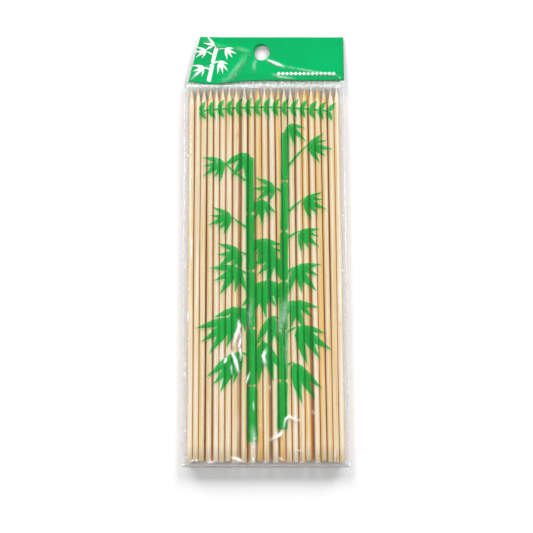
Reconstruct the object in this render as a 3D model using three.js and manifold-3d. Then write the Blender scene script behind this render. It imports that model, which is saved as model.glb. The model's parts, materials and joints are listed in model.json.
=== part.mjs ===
// A retail pack of bamboo sticks: round skewers, sharpened at one end, lying in two layers in a flat pouch
// of clear film. The pouch is two panels welded along the sides, the foot and the mouth, and its film runs
// on above the mouth as a printed header with a hang hole. The front panel carries a bamboo print.
//
// Millimetres. The pack lies on its back: X runs across it, Y runs along the sticks from the foot to the
// header, and Z points up out of its printed face. The origin is under the middle of the pack.
import * as THREE from 'three';
import { mergeVertices } from 'three/addons/utils/BufferGeometryUtils.js';
import Module from 'manifold-3d';

// The sticks
const stickDiameter = 3.0;
const stickLength = 198;
const pointLength = 8.5;
const buttChamfer = 0.2;
const diameterPlay = 0.25; // how much thinner than its size a stick can be
const lengthPlay = 2.2; // how much shorter than its size a stick can be
const stickSides = 12;

// The two layers of sticks
const backCount = 26;
const frontCount = 23;
const footSpread = 0.21; // mean space between the sticks of the back layer, at the foot of the pack
const mouthSpread = 0.03; // and at the points
const stickClearance = 0.1; // the least space between a stick and what lies beside it

// The pouch. Its real film is thinner, about 0.04 mm.
const filmWall = 0.15;
const sideWeld = 1.0;
const footWeld = 0.8;
const mouthWeld = 2.2;
const weldGap = 0.06; // between the two panels where they are welded, so that each is a body of its own
const sideRun = 1.7; // how far in from the side weld the film takes to climb over the sticks
const footRun = 0.9;
const mouthRun = 6;
const sideRoom = 0.1; // from the foot of the climb to the outermost stick
const footRoom = 0.5; // from the foot of the climb to the butts of the sticks
const pointRoom = 0.9; // from the longest stick's point to the mouth weld
const mouthShift = -1.0; // the pouch leans a little to the left towards its mouth

// The header
const headerHeight = 23.4;
const headerWall = 0.25; // two plies of film
const headerLean = 7; // degrees that it droops towards the surface
const headerGap = 0.1; // between it and the panels below
const headerLeftInset = 6.2; // how far its left edge leans in at the top
const headerRightInset = 0.3;
const clearStrip = 2.4; // bare film beside the left edge of the green
const hangHole = 8.8;
const hangHoleShift = -1.4; // from the middle of the mouth
const hangHoleRise = 15.3; // from the foot of the header

// The print
const inkWall = 0.1;
const inkGap = 0.05;
const culmWidth = 5.4;
const culmSpacing = 15.5;
const culmGap = 1.1; // pale ring between two lengths of a culm
const printFootRise = 13.5; // from the foot of the pack to the foot of the left culm
const printShift = 0.8; // from the middle of the pack to midway between the culms
const broadLeaf = 27;
const broadLeafWidth = 7;
const middlingLeaf = 18;
const middlingLeafWidth = 5;
const slimLeaf = 14;
const slimLeafWidth = 3.8;
const twigLength = 6;
const twigWidth = 1.7;
const garlandDrop = 12; // from the mouth weld down to the middle of the leaf garland
const garlandLength = 72;
const garlandArch = 2.4;
const garlandLeaf = 6.2;
const vineWidth = 1.1;
const garlandGap = 7; // from the leaf garland down to the taller culm

// The white print on the header
const sprigRise = 17; // from the foot of the sprig to the top of its culm
const sprigCulm = 2.2;
const sprigLeaf = 7.5;
const sprigLeafWidth = 1.9;
const sprigTwig = 4;
const sprigInset = 13; // from the left end of the header's foot to the foot of the sprig
const ruleLength = 29;
const ruleInset = 20; // from the right end of the header's foot to the middle of the row of marks
const ruleRise = 3.6; // from the foot of the header to the middle of the row of marks
const ruleMark = 2.1;
const ruleLine = 0.35;

// Places worked out from the sizes above
const stickRadius = stickDiameter / 2;
const footBundle = backCount * (stickDiameter + footSpread);
const mouthBundle = backCount * (stickDiameter + mouthSpread);
const sideMargin = sideWeld + sideRun + sideRoom;
const footWidth = footBundle + 2 * sideMargin;
const mouthWidth = mouthBundle + 2 * sideMargin;
const pouchLength = footWeld + footRun + footRoom + stickLength + pointRoom + mouthWeld;
const headerReach = headerHeight * Math.cos(THREE.MathUtils.degToRad(headerLean));
const packLength = pouchLength + headerGap + headerReach;
const footY = -packLength / 2;
const mouthY = footY + pouchLength;
const buttY = footY + footWeld + footRun + footRoom;

const backStickZ = filmWall + stickClearance + stickRadius;
const frontStickZ = backStickZ + stickDiameter + stickClearance;
const backFilmZ = filmWall / 2;
const frontFilmZ = frontStickZ + stickRadius + stickClearance + filmWall / 2;
const seamZ = (backFilmZ + frontFilmZ) / 2;
const printZ = frontFilmZ + filmWall / 2 + inkGap;

const garlandY = mouthY - mouthWeld - garlandDrop;
const printFootY = footY + printFootRise;
const printHeight = garlandY - garlandLeaf - garlandGap - printFootY;

// Colours and finishes
const clearFilm = { color: '#e9eef0', roughness: 0.12, metalness: 0, transparent: true, opacity: 0.3 };
const greenInk = { color: '#1fb34a', roughness: 0.35, metalness: 0 };
const headerGreen = { color: '#0ac46c', roughness: 0.25, metalness: 0 };
const whiteInk = { color: '#f2f6f2', roughness: 0.35, metalness: 0 };
const bambooShades = ['#ecdfbd', '#e3cf9c', '#dcc088', '#f0e6cc', '#d8c27c'];

const wasm = await Module();
wasm.setup();

const pack = new THREE.Group();

function add(name, geometry, finish, parent = pack) {
  const mesh = new THREE.Mesh(geometry, new THREE.MeshStandardMaterial(finish));
  mesh.name = name;
  parent.add(mesh);
  return mesh;
}

// A repeatable run of numbers from 0 to 1, so that the sticks always fall the same way.
function numbersFrom(seed) {
  let state = seed;
  return () => {
    state = (state + 0x6d2b79f5) | 0;
    let mixed = Math.imul(state ^ (state >>> 15), 1 | state);
    mixed = (mixed + Math.imul(mixed ^ (mixed >>> 7), 61 | mixed)) ^ mixed;
    return ((mixed ^ (mixed >>> 14)) >>> 0) / 4294967296;
  };
}

// How far along a line from the foot to the mouth a place is: 0 at the foot, 1 at the mouth.
function along(y) {
  return (y - footY) / pouchLength;
}

// The pouch's left and right edges, straight from the foot to the mouth.
function leftEdge(y) {
  return THREE.MathUtils.lerp(-footWidth / 2, mouthShift - mouthWidth / 2, along(y));
}

function rightEdge(y) {
  return THREE.MathUtils.lerp(footWidth / 2, mouthShift + mouthWidth / 2, along(y));
}

// Centres of a row of sticks from one side margin to the other. The shares say how the free space falls
// between neighbours, and no space is under the clearance.
function centres(y, diameters, shares) {
  const start = leftEdge(y) + sideMargin;
  const end = rightEdge(y) - sideMargin;
  const sum = (list) => list.reduce((total, value) => total + value, 0);
  const taken = sum(diameters) + stickClearance * (diameters.length - 1);
  const unit = (end - start - taken) / sum(shares);
  let x = start;
  return diameters.map((diameter, i) => {
    const centre = x + diameter / 2;
    x += diameter + stickClearance + unit * (shares[i] ?? 0);
    return centre;
  });
}

// One stick, standing on its butt: a turned rod with a chamfered butt and a long point.
function stickGeometry(diameter, length) {
  const radius = diameter / 2;
  return new THREE.LatheGeometry([
    new THREE.Vector2(0, 0),
    new THREE.Vector2(radius - buttChamfer, 0),
    new THREE.Vector2(radius, buttChamfer),
    new THREE.Vector2(radius, length - pointLength),
    new THREE.Vector2(0, length),
  ], stickSides);
}

// A layer of sticks side by side. The seed picks how they fall, and the more uneven they are, the more of
// the free space lies in a few gaps.
function layer(name, count, z, seed, unevenness) {
  const random = numbersFrom(seed);
  const draw = (make) => Array.from({ length: count }, make);
  const diameters = draw(() => stickDiameter - diameterPlay * random());
  const lengths = draw(() => stickLength - lengthPlay * random());
  const slips = draw(() => random());
  const footShares = draw(() => 0.05 + random() ** unevenness).slice(1);
  const mouthShares = footShares.map((share) => 0.5 * share + 0.5 * (0.05 + random() ** unevenness));
  const buttX = centres(buttY, diameters, footShares);
  const pointX = centres(buttY + stickLength, diameters, mouthShares);
  for (let i = 0; i < count; i++) {
    const stick = add(
      `${name}_${String(i + 1).padStart(2, '0')}`,
      stickGeometry(diameters[i], lengths[i]),
      { color: bambooShades[Math.floor(random() * bambooShades.length)], roughness: 0.6, metalness: 0 },
    );
    stick.position.set(buttX[i], buttY + (stickLength - lengths[i]) * slips[i], z);
    stick.rotation.z = -Math.atan2(pointX[i] - buttX[i], stickLength);
  }
}

// Distances from an edge at which the film has its rows of points: the weld, then equal steps of the
// quarter ellipse that it climbs.
const climbSteps = 4;

function climb(weld, run) {
  const steps = Array.from({ length: climbSteps + 1 }, (_, i) => (
    weld + run * (1 - Math.cos((i / climbSteps) * Math.PI / 2))));
  return [0, ...steps];
}

// Height of the film at a distance from an edge: 0 on the weld and 1 over the sticks.
function rise(distance, weld, run) {
  const left = 1 - THREE.MathUtils.clamp((distance - weld) / run, 0, 1);
  return Math.sqrt(1 - left * left);
}

// A panel of the pouch, from its seam to its height over the sticks. The box's own grid of points is moved
// onto the panel, half of its wall to either side.
function panelGeometry(seam, height, acrossSteps, alongSteps) {
  const side = climb(sideWeld, sideRun);
  const foot = climb(footWeld, footRun);
  const mouth = climb(mouthWeld, mouthRun);
  const columns = 2 * (side.length - 1) + acrossSteps;
  const rows = foot.length + mouth.length - 2 + alongSteps;

  const rowY = (row) => {
    if (row < foot.length) return footY + foot[row];
    if (row > rows - mouth.length) return mouthY - mouth[rows - row];
    const share = (row - foot.length + 1) / alongSteps;
    return THREE.MathUtils.lerp(footY + foot.at(-1), mouthY - mouth.at(-1), share);
  };
  const columnX = (column, y) => {
    if (column < side.length) return leftEdge(y) + side[column];
    if (column > columns - side.length) return rightEdge(y) - side[columns - column];
    const share = (column - side.length + 1) / acrossSteps;
    return THREE.MathUtils.lerp(leftEdge(y) + side.at(-1), rightEdge(y) - side.at(-1), share);
  };
  const middle = (column, row) => {
    const y = rowY(THREE.MathUtils.clamp(row, 0, rows));
    const x = columnX(THREE.MathUtils.clamp(column, 0, columns), y);
    const up = rise(Math.min(x - leftEdge(y), rightEdge(y) - x), sideWeld, sideRun)
      * rise(y - footY, footWeld, footRun) * rise(mouthY - y, mouthWeld, mouthRun);
    return new THREE.Vector3(x, y, seam + (height - seam) * up);
  };

  const geometry = new THREE.BoxGeometry(1, 1, 1, columns, rows, 1);
  const position = geometry.attributes.position;
  for (let i = 0; i < position.count; i++) {
    const column = Math.round((position.getX(i) + 0.5) * columns);
    const row = Math.round((position.getY(i) + 0.5) * rows);
    const across = middle(column + 1, row).sub(middle(column - 1, row));
    const up = middle(column, row + 1).sub(middle(column, row - 1));
    const outward = across.cross(up).normalize().multiplyScalar(position.getZ(i) * filmWall);
    const point = middle(column, row).add(outward);
    position.setXYZ(i, point.x, point.y, point.z);
  }
  return geometry;
}

// Ink shapes. A leaf is a lance outline from its stalk at the origin to its tip on +X, bowed to one side.
function leafShape(length, width, bow = 0) {
  const shape = new THREE.Shape();
  shape.moveTo(0, 0);
  shape.bezierCurveTo(0.12 * length, 0.62 * width, 0.5 * length, 0.55 * width + bow, length, 0);
  shape.bezierCurveTo(0.45 * length, -0.5 * width + bow, 0.1 * length, -0.6 * width, 0, 0);
  return shape;
}

// One length of a culm, along +X from the origin: a little wider at its ends, with rounded corners.
function culmShape(length, width) {
  const half = width / 2;
  const corner = 0.3 * width;
  const shape = new THREE.Shape();
  shape.moveTo(0, half - corner);
  shape.quadraticCurveTo(0, half, corner, half);
  shape.quadraticCurveTo(length / 2, 0.82 * half, length - corner, half);
  shape.quadraticCurveTo(length, half, length, half - corner);
  shape.lineTo(length, corner - half);
  shape.quadraticCurveTo(length, -half, length - corner, -half);
  shape.quadraticCurveTo(length / 2, -0.82 * half, corner, -half);
  shape.quadraticCurveTo(0, -half, 0, corner - half);
  return shape;
}

function bandShape(length, width) {
  return new THREE.Shape([
    new THREE.Vector2(0, -width / 2),
    new THREE.Vector2(length, -width / 2),
    new THREE.Vector2(length, width / 2),
    new THREE.Vector2(0, width / 2),
  ]);
}

// A closed solid of ink from a shape that is turned by an angle in degrees and placed in its field.
const outlineSteps = 3;

function ink(shape, x, y, angle) {
  const options = { depth: inkWall, bevelEnabled: false, curveSegments: outlineSteps };
  const turn = THREE.MathUtils.degToRad(angle);
  const geometry = new THREE.ExtrudeGeometry(shape, options).rotateZ(turn).translate(x, y, 0);
  geometry.deleteAttribute('normal');
  geometry.deleteAttribute('uv');
  const merged = mergeVertices(geometry, 1e-4);
  return new wasm.Manifold(new wasm.Mesh({
    numProp: 3,
    vertProperties: new Float32Array(merged.attributes.position.array),
    triVerts: new Uint32Array(merged.index.array),
  }));
}

// Overlapping shapes joined into one body. Points that a straight edge or a flat face can do without go.
const inkTolerance = 0.03;

function joined(solids) {
  const union = solids.reduce((total, solid) => total.add(solid));
  const whole = union.asOriginal().simplify(inkTolerance).getMesh();
  const geometry = new THREE.BufferGeometry();
  geometry.setAttribute('position', new THREE.BufferAttribute(new Float32Array(whole.vertProperties), 3));
  geometry.setIndex(new THREE.BufferAttribute(new Uint32Array(whole.triVerts), 1));
  return geometry;
}

// The place at a distance from another one, in a direction in degrees from +X.
function reach(from, distance, heading) {
  const turn = THREE.MathUtils.degToRad(heading);
  return { x: from.x + distance * Math.cos(turn), y: from.y + distance * Math.sin(turn) };
}

// A twig from a place on a culm, and a fan of leaves at its end. A spray's own scales are 1 if left out.
function spray({ from, heading, twig, girth, leaves, leaf, leafWidth, aim, fan, reachBy = 1, growBy = 1 }) {
  const twigReach = twig * reachBy;
  const solids = [ink(leafShape(twigReach * 1.15, girth, 0.06 * twigReach), from.x, from.y, heading)];
  const end = reach(from, twigReach, heading);
  for (let i = 0; i < leaves; i++) {
    const share = i / (leaves - 1);
    const size = growBy * (1 - 0.4 * Math.abs(share - 0.4) - 0.12 * (i % 2));
    const bow = 0.15 * leafWidth * (i % 2 ? 1 : -1);
    solids.push(ink(leafShape(leaf * size, leafWidth * size, bow), end.x, end.y, aim + fan * (share - 0.5)));
  }
  return solids;
}

// The length of one of a culm's equal lengths, from the height of the whole culm.
function segment(stem) {
  return (stem.height + stem.gap) / stem.lengths - stem.gap;
}

// A culm that rises from its foot in equal lengths, each with a narrow neck to the next one.
function culm(stem) {
  const { foot, heading, height, lengths, width, gap } = stem;
  const solids = [ink(bandShape(height, width / 4), foot.x, foot.y, heading)];
  for (let i = 0; i < lengths; i++) {
    const start = reach(foot, i * (segment(stem) + gap), heading);
    solids.push(ink(culmShape(segment(stem), width * (1 - 0.05 * i)), start.x, start.y, heading));
  }
  return solids;
}

// Sprays on a culm. Each row gives how many of the culm's lengths up its twig starts, the kind of spray, and
// what is its own.
function sprays(stem, rows) {
  return rows.flatMap(([lengths, kind, own]) => (
    spray({ ...kind, ...own, from: reach(stem.foot, lengths * (segment(stem) + stem.gap), stem.heading) })));
}

// Two culms side by side. Broad leaves hang over their lower lengths, and small ones above.
function bambooPrint() {
  const left = {
    foot: { x: printShift - culmSpacing / 2, y: printFootY },
    heading: 90.6, height: 0.92 * printHeight, lengths: 5, width: culmWidth, gap: culmGap,
  };
  const right = {
    foot: { x: printShift + culmSpacing / 2, y: printFootY + 0.04 * printHeight },
    heading: 89.4, height: 0.96 * printHeight, lengths: 6, width: culmWidth, gap: culmGap,
  };
  const twig = { twig: twigLength, girth: twigWidth };
  const broad = { ...twig, leaf: broadLeaf, leafWidth: broadLeafWidth, leaves: 4, fan: 62 };
  const middling = { ...twig, leaf: middlingLeaf, leafWidth: middlingLeafWidth, leaves: 5, fan: 110 };
  const slim = { ...twig, leaf: slimLeaf, leafWidth: slimLeafWidth, leaves: 5, fan: 92 };
  return joined([
    ...culm(left),
    ...culm(right),
    ...sprays(left, [
      [1.5, broad, { heading: 160, aim: 236, fan: 40 }],
      [1.7, broad, { heading: 20, aim: 285, leaves: 3, fan: 40 }],
      [2.05, broad, { heading: 165, aim: 224, reachBy: 1.6, growBy: 0.92 }],
      [2.3, middling, { heading: 170, aim: 255 }],
      [2.6, middling, { heading: 30, aim: 280 }],
      [2.9, middling, { heading: 150, aim: 235, reachBy: 1.3 }],
      [3.25, middling, { heading: 160, aim: 215, growBy: 0.85 }],
      [3.45, middling, { heading: 25, aim: 290, growBy: 0.9 }],
      [3.7, slim, { heading: 145, aim: 200, reachBy: 2 }],
      [4.1, slim, { heading: 30, aim: 270, reachBy: 1.2 }],
      [4.5, slim, { heading: 140, aim: 215, reachBy: 3 }],
      [4.95, middling, { heading: 120, aim: 238, reachBy: 0.5, leaves: 3, fan: 60 }],
    ]),
    ...sprays(right, [
      [1.25, broad, { heading: 25, aim: 300, fan: 36, leaves: 3 }],
      [1.9, broad, { heading: 30, aim: 316, reachBy: 1.4, growBy: 0.92 }],
      [2.2, broad, { heading: 160, aim: 262, leaves: 3, fan: 44, growBy: 0.8 }],
      [2.5, middling, { heading: 20, aim: 290 }],
      [2.85, middling, { heading: 150, aim: 250 }],
      [3.1, middling, { heading: 35, aim: 310, reachBy: 1.3 }],
      [3.35, middling, { heading: 150, aim: 255, growBy: 0.9 }],
      [3.55, middling, { heading: 155, aim: 225, growBy: 0.7 }],
      [3.8, slim, { heading: 30, aim: 320, reachBy: 1.6 }],
      [4.3, slim, { heading: 40, aim: 335, reachBy: 2.2 }],
      [4.75, slim, { heading: 150, aim: 200, leaves: 4 }],
      [5.2, slim, { heading: 48, aim: 350, reachBy: 3 }],
      [5.9, slim, { heading: 70, aim: 300, leaves: 4 }],
    ]),
  ]);
}

// A row of small leaves in pairs along an arched vine.
function garlandPrint() {
  const pairs = 15;
  const pitch = garlandLength / pairs;
  const leafWidth = garlandLeaf / 2;
  const arch = (i) => {
    const x = pitch * (i + 0.5) - garlandLength / 2;
    return new THREE.Vector2(x, -garlandArch * (2 * x / garlandLength) ** 2);
  };
  const solids = [];
  for (let i = 0; i < pairs; i++) {
    const { x, y } = arch(i);
    const step = arch(i + 1).sub(arch(i));
    const heading = THREE.MathUtils.radToDeg(step.angle());
    if (i < pairs - 1) solids.push(ink(bandShape(step.length() + vineWidth / 4, vineWidth), x, y, heading));
    solids.push(ink(leafShape(garlandLeaf, leafWidth, 0.03 * garlandLeaf), x, y, heading + 55));
    solids.push(ink(leafShape(0.9 * garlandLeaf, leafWidth, -0.03 * garlandLeaf), x, y, heading - 58));
  }
  return joined(solids);
}

// A sprig: a short leaning culm with hanging leaves.
function sprigPrint() {
  const stem = {
    foot: { x: 0, y: 0 }, heading: 76, height: sprigRise, lengths: 2, width: sprigCulm, gap: sprigCulm / 4,
  };
  const small = {
    twig: sprigTwig, girth: sprigCulm / 3, leaf: sprigLeaf, leafWidth: sprigLeafWidth, leaves: 4, fan: 80,
  };
  return joined([...culm(stem), ...sprays(stem, [
    [0.65, small, { heading: 165, aim: 215 }],
    [0.95, small, { heading: 20, aim: 300 }],
    [1.45, small, { heading: 150, aim: 200, reachBy: 1.25 }],
    [1.8, small, { heading: 10, aim: 320, reachBy: 1.25 }],
    [1.9, small, { heading: 120, aim: 170, reachBy: 0.5, leaves: 3 }],
  ])]);
}

// A row of small lozenges on a fine line.
function rulePrint() {
  const marks = 14;
  const side = ruleMark / Math.SQRT2;
  const solids = [ink(bandShape(ruleLength, ruleLine), -ruleLength / 2, 0, 0)];
  for (let i = 0; i < marks; i++) {
    const x = ruleLength * (i / (marks - 1) - 0.5);
    solids.push(ink(bandShape(side, side), x - side / 2 / Math.SQRT2, -side / 2 / Math.SQRT2, 45));
  }
  return joined(solids);
}

// The header's outline with its hang hole, its foot on the X axis, and a free margin at its left edge.
function headerShape(leftMargin) {
  const left = leftEdge(mouthY) + leftMargin;
  const right = rightEdge(mouthY);
  const shape = new THREE.Shape([
    new THREE.Vector2(left, 0),
    new THREE.Vector2(right, 0),
    new THREE.Vector2(right - headerRightInset, headerHeight),
    new THREE.Vector2(left + headerLeftInset, headerHeight),
  ]);
  const hole = new THREE.Path();
  hole.absarc(mouthShift + hangHoleShift, hangHoleRise, hangHole / 2, 0, 2 * Math.PI, true);
  shape.holes.push(hole);
  return shape;
}

function slabGeometry(shape, wall) {
  return new THREE.ExtrudeGeometry(shape, { depth: wall, bevelEnabled: false, curveSegments: 12 });
}

add('front_film', panelGeometry(seamZ + (filmWall + weldGap) / 2, frontFilmZ, 12, 14), clearFilm);
add('back_film', panelGeometry(seamZ - (filmWall + weldGap) / 2, backFilmZ, 4, 4), clearFilm);

layer('stick_front', frontCount, frontStickZ, 11, 2.2);
layer('stick_back', backCount, backStickZ, 29, 1.2);

add('bamboo_print', bambooPrint(), greenInk).position.z = printZ;
add('garland_print', garlandPrint(), greenInk).position.set(mouthShift, garlandY, printZ);

const header = new THREE.Group();
header.position.set(0, mouthY + headerGap, seamZ);
header.rotation.x = -THREE.MathUtils.degToRad(headerLean);
pack.add(header);

const headerFaceZ = headerWall / 2;
const headerInkZ = headerFaceZ + inkGap;
const headerMarkZ = headerInkZ + inkWall + inkGap;
const headerFilm = slabGeometry(headerShape(0), headerWall);
const headerField = slabGeometry(headerShape(clearStrip), inkWall);
add('header_film', headerFilm, clearFilm, header).position.z = -headerFaceZ;
add('header_green', headerField, headerGreen, header).position.z = headerInkZ;
add('header_sprig', sprigPrint(), whiteInk, header)
  .position.set(leftEdge(mouthY) + sprigInset, sprigCulm / 2, headerMarkZ);
add('header_rule', rulePrint(), whiteInk, header)
  .position.set(rightEdge(mouthY) - ruleInset, ruleRise, headerMarkZ);

export default pack;
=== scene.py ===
import json
import math
import random

import bmesh
import bpy
from mathutils import Matrix, Vector, noise


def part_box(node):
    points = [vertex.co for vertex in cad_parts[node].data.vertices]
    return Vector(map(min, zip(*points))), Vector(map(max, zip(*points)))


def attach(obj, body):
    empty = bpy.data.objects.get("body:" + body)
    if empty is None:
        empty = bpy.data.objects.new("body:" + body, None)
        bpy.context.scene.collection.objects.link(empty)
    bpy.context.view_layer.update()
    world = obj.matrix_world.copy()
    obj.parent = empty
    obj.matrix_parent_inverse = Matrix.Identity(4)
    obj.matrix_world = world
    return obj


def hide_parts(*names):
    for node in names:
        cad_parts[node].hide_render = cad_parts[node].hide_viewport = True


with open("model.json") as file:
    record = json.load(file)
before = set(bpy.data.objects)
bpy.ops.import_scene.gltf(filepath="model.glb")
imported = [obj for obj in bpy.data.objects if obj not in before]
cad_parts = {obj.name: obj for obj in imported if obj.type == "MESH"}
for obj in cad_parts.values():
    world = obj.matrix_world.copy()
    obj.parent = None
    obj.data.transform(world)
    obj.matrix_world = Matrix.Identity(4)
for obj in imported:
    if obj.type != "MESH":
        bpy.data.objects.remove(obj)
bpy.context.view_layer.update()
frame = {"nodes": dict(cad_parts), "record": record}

bl_info = {
    "name": "Bamboo stick pack",
    "version": (1, 0, 0),
    "blender": (4, 5, 0),
    "location": "View3D > Sidebar > Stick Pack",
    "description": "A clear printed film pack of bamboo sticks, dressed over its measured frame",
    "category": "Object",
}

MM = 0.001
BODY = "root"
FILM_NAME = "polypropylene_film_clear"
# How far the ink stands over the pouch's film, and each layer of the header over its surface
INK_GAP = 0.05 * MM
PLY_GAPS = {"film": 0.07 * MM, "green": 0.14 * MM, "white": 0.20 * MM, "back": -0.16 * MM}


# Places read from the frame

def outline_x(node, y, side):
    """The x of a node's left (-1) or right (1) edge at one of its ends."""
    near = [v.co.x for v in frame["nodes"][node].data.vertices if abs(v.co.y - y) < 0.2 * MM]
    return side * max(side * x for x in near)


FILM_LOW, FILM_HIGH = (Vector(corner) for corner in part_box("front_film"))
BACK_LOW, BACK_HIGH = (Vector(corner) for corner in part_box("back_film"))
FOOT_Y, MOUTH_Y = FILM_LOW.y, FILM_HIGH.y
STICK_TOP = max(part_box(name)[1][2] for name in frame["nodes"] if name.startswith("stick_front"))
SEAM_Z = (FILM_LOW.z + BACK_HIGH.z) / 2
HEADER_LOW, HEADER_HIGH = (Vector(corner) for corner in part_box("header_film"))
EDGES = {
    side: (outline_x("front_film", FOOT_Y, side), outline_x("front_film", MOUTH_Y, side))
    for side in (-1, 1)
}


def edge_x(side, y):
    """The x of the pouch's left or right edge, straight from the foot to the mouth."""
    foot, mouth = EDGES[side]
    return foot + (mouth - foot) * (y - FOOT_Y) / (MOUTH_Y - FOOT_Y)


# Sizes and colours

class StickSizes(bpy.types.PropertyGroup):
    """The bamboo sticks"""
    sides: bpy.props.IntProperty(
        name="Sides", description="Faces round a stick", default=16, min=8, max=48)
    ring_step: bpy.props.FloatProperty(
        name="Ring step", description="Length of stick between two rings of points",
        default=9 * MM, unit="LENGTH")
    waver: bpy.props.FloatProperty(
        name="Waver", description="How far a stick strays from a straight line",
        default=0.09 * MM, unit="LENGTH")
    point_length: bpy.props.FloatProperty(
        name="Point length", description="Length of the sharpened end", default=8.5 * MM, unit="LENGTH")
    pale: bpy.props.StringProperty(
        name="Pale", description="Palest bamboo, as sRGB hex", default="#f5efdf")
    straw: bpy.props.StringProperty(
        name="Straw", description="Commonest bamboo, as sRGB hex", default="#f0e3be")
    tan: bpy.props.StringProperty(
        name="Tan", description="Darker bamboo, as sRGB hex", default="#e8c47a")
    # Amber is also painted on the sticks' flanks as warm shade, and deepens the back layer seen in the
    # gaps.
    amber: bpy.props.StringProperty(
        name="Amber", description="Deepest bamboo, as sRGB hex", default="#ffac44")
    fleck: bpy.props.StringProperty(
        name="Fleck", description="Brown pores, as sRGB hex", default="#8d5a2a")
    skin: bpy.props.StringProperty(
        name="Skin", description="Traces of the culm's skin, as sRGB hex", default="#dfcb7c")
    fibre: bpy.props.StringProperty(
        name="Fibre", description="Fine dark fibres, as sRGB hex", default="#c69046")


class FilmSizes(bpy.types.PropertyGroup):
    """The clear film of the pouch and the header"""
    wall: bpy.props.FloatProperty(
        name="Wall", description="Thickness of the film", default=0.05 * MM, unit="LENGTH")
    clearance: bpy.props.FloatProperty(
        name="Clearance", description="Least space from the sticks to the film",
        default=0.09 * MM, unit="LENGTH")
    cell: bpy.props.FloatProperty(
        name="Cell", description="Grid step of the film's mesh", default=0.64 * MM, unit="LENGTH")
    weld: bpy.props.FloatProperty(
        name="Weld", description="Width of the side weld", default=1.0 * MM, unit="LENGTH")
    foot_weld: bpy.props.FloatProperty(
        name="Foot weld", description="Width of the weld at the foot", default=0.5 * MM, unit="LENGTH")
    side_run: bpy.props.FloatProperty(
        name="Side run", description="How far in the film climbs at the sides",
        default=3.2 * MM, unit="LENGTH")
    foot_run: bpy.props.FloatProperty(
        name="Foot run", description="How far in the film climbs at the foot",
        default=1.65 * MM, unit="LENGTH")
    mouth_run: bpy.props.FloatProperty(
        name="Mouth run", description="How far in the film climbs at the mouth",
        default=5.0 * MM, unit="LENGTH")
    mouth_weld: bpy.props.FloatProperty(
        name="Mouth weld", description="Width of the mouth's flat weld", default=2.2 * MM, unit="LENGTH")
    knurl_width: bpy.props.FloatProperty(
        name="Knurl width", description="Width of the band of dots, more than the flat weld's",
        default=4.2 * MM, unit="LENGTH")
    knurl_pitch: bpy.props.FloatProperty(
        name="Knurl pitch", description="Spacing of the knurl's dots", default=0.85 * MM, unit="LENGTH")
    haze: bpy.props.FloatProperty(
        name="Haze", description="Milkiness of the film", default=0.022, min=0.0, max=1.0,
        subtype="FACTOR")


class PrintSizes(bpy.types.PropertyGroup):
    """The inks, and the header's plies"""
    wall: bpy.props.FloatProperty(
        name="Ink wall", description="Thickness of the ink", default=0.02 * MM, unit="LENGTH")
    cell: bpy.props.FloatProperty(
        name="Cell", description="Grid step of the printed sheets", default=0.64 * MM, unit="LENGTH")
    slip: bpy.props.FloatProperty(
        name="Slip", description="How far the back ply's hole has slipped", default=0.9 * MM, unit="LENGTH")
    green: bpy.props.StringProperty(
        name="Green", description="Body of the green ink, as sRGB hex", default="#30eb7c")
    green_glass: bpy.props.StringProperty(
        name="Green glass", description="Light that the green ink lets through, as sRGB hex",
        default="#6be398")
    header_green: bpy.props.StringProperty(
        name="Header green", description="The header's opaque green, as sRGB hex", default="#00a65c")
    white: bpy.props.StringProperty(
        name="White", description="White ink, as sRGB hex", default="#f4f8f4")


class StageSizes(bpy.types.PropertyGroup):
    """The camera and the lights"""
    frame_width: bpy.props.FloatProperty(
        name="Frame width", description="Width that the camera sees at the pack",
        default=279.8 * MM, unit="LENGTH")
    focal_length: bpy.props.FloatProperty(
        name="Focal length", description="Lens, on a 36 mm sensor", default=100.0)
    aim_x: bpy.props.FloatProperty(
        name="Aim x", description="Middle of the view", default=0.3 * MM, unit="LENGTH")
    aim_y: bpy.props.FloatProperty(
        name="Aim y", description="Middle of the view", default=-7.8 * MM, unit="LENGTH")
    key_strength: bpy.props.FloatProperty(
        name="Key strength", description="Strength of the two low lights from beyond the header",
        default=6.0)
    key_height: bpy.props.FloatProperty(
        name="Key height", description="How high each key light stands over the floor",
        default=math.radians(23), unit="ROTATION")
    key_aside: bpy.props.FloatProperty(
        name="Key aside", description="How far each key light stands to its side",
        default=math.radians(26), unit="ROTATION")
    key_spread: bpy.props.FloatProperty(
        name="Key spread", description="Apparent width of the key lights, which softens the shadow",
        default=math.radians(26), unit="ROTATION")
    glint_power: bpy.props.FloatProperty(
        name="Glint power", description="Power of each small lamp that draws the film's glints",
        default=1.1, unit="POWER")
    room: bpy.props.FloatProperty(
        name="Room light", description="Strength of the even light from all round", default=0.17)
    fill_strength: bpy.props.FloatProperty(
        name="Fill strength", description="Strength of the light from straight above", default=0.52)


# Materials

def linear(hex_colour):
    """A shader's linear colour from an sRGB hex value."""
    channels = [int(hex_colour[i:i + 2], 16) / 255 for i in (1, 3, 5)]
    return tuple(c / 12.92 if c <= 0.04045 else ((c + 0.055) / 1.055) ** 2.4 for c in channels) + (1.0,)


def add_node(tree, kind, inputs=None, **settings):
    """A shader node with its settings; an input is a value or another node's output."""
    made = tree.nodes.new(kind)
    for name, value in settings.items():
        setattr(made, name, value)
    for name, value in (inputs or {}).items():
        if isinstance(value, bpy.types.NodeSocket):
            tree.links.new(value, made.inputs[name])
        else:
            made.inputs[name].default_value = value
    return made


def new_material(name):
    """An empty node material, and its node tree."""
    made = bpy.data.materials.new(name)
    made.use_nodes = True
    made.node_tree.nodes.clear()
    return made, made.node_tree


def finish_material(tree, surface):
    add_node(tree, "ShaderNodeOutputMaterial", {"Surface": surface})


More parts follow.
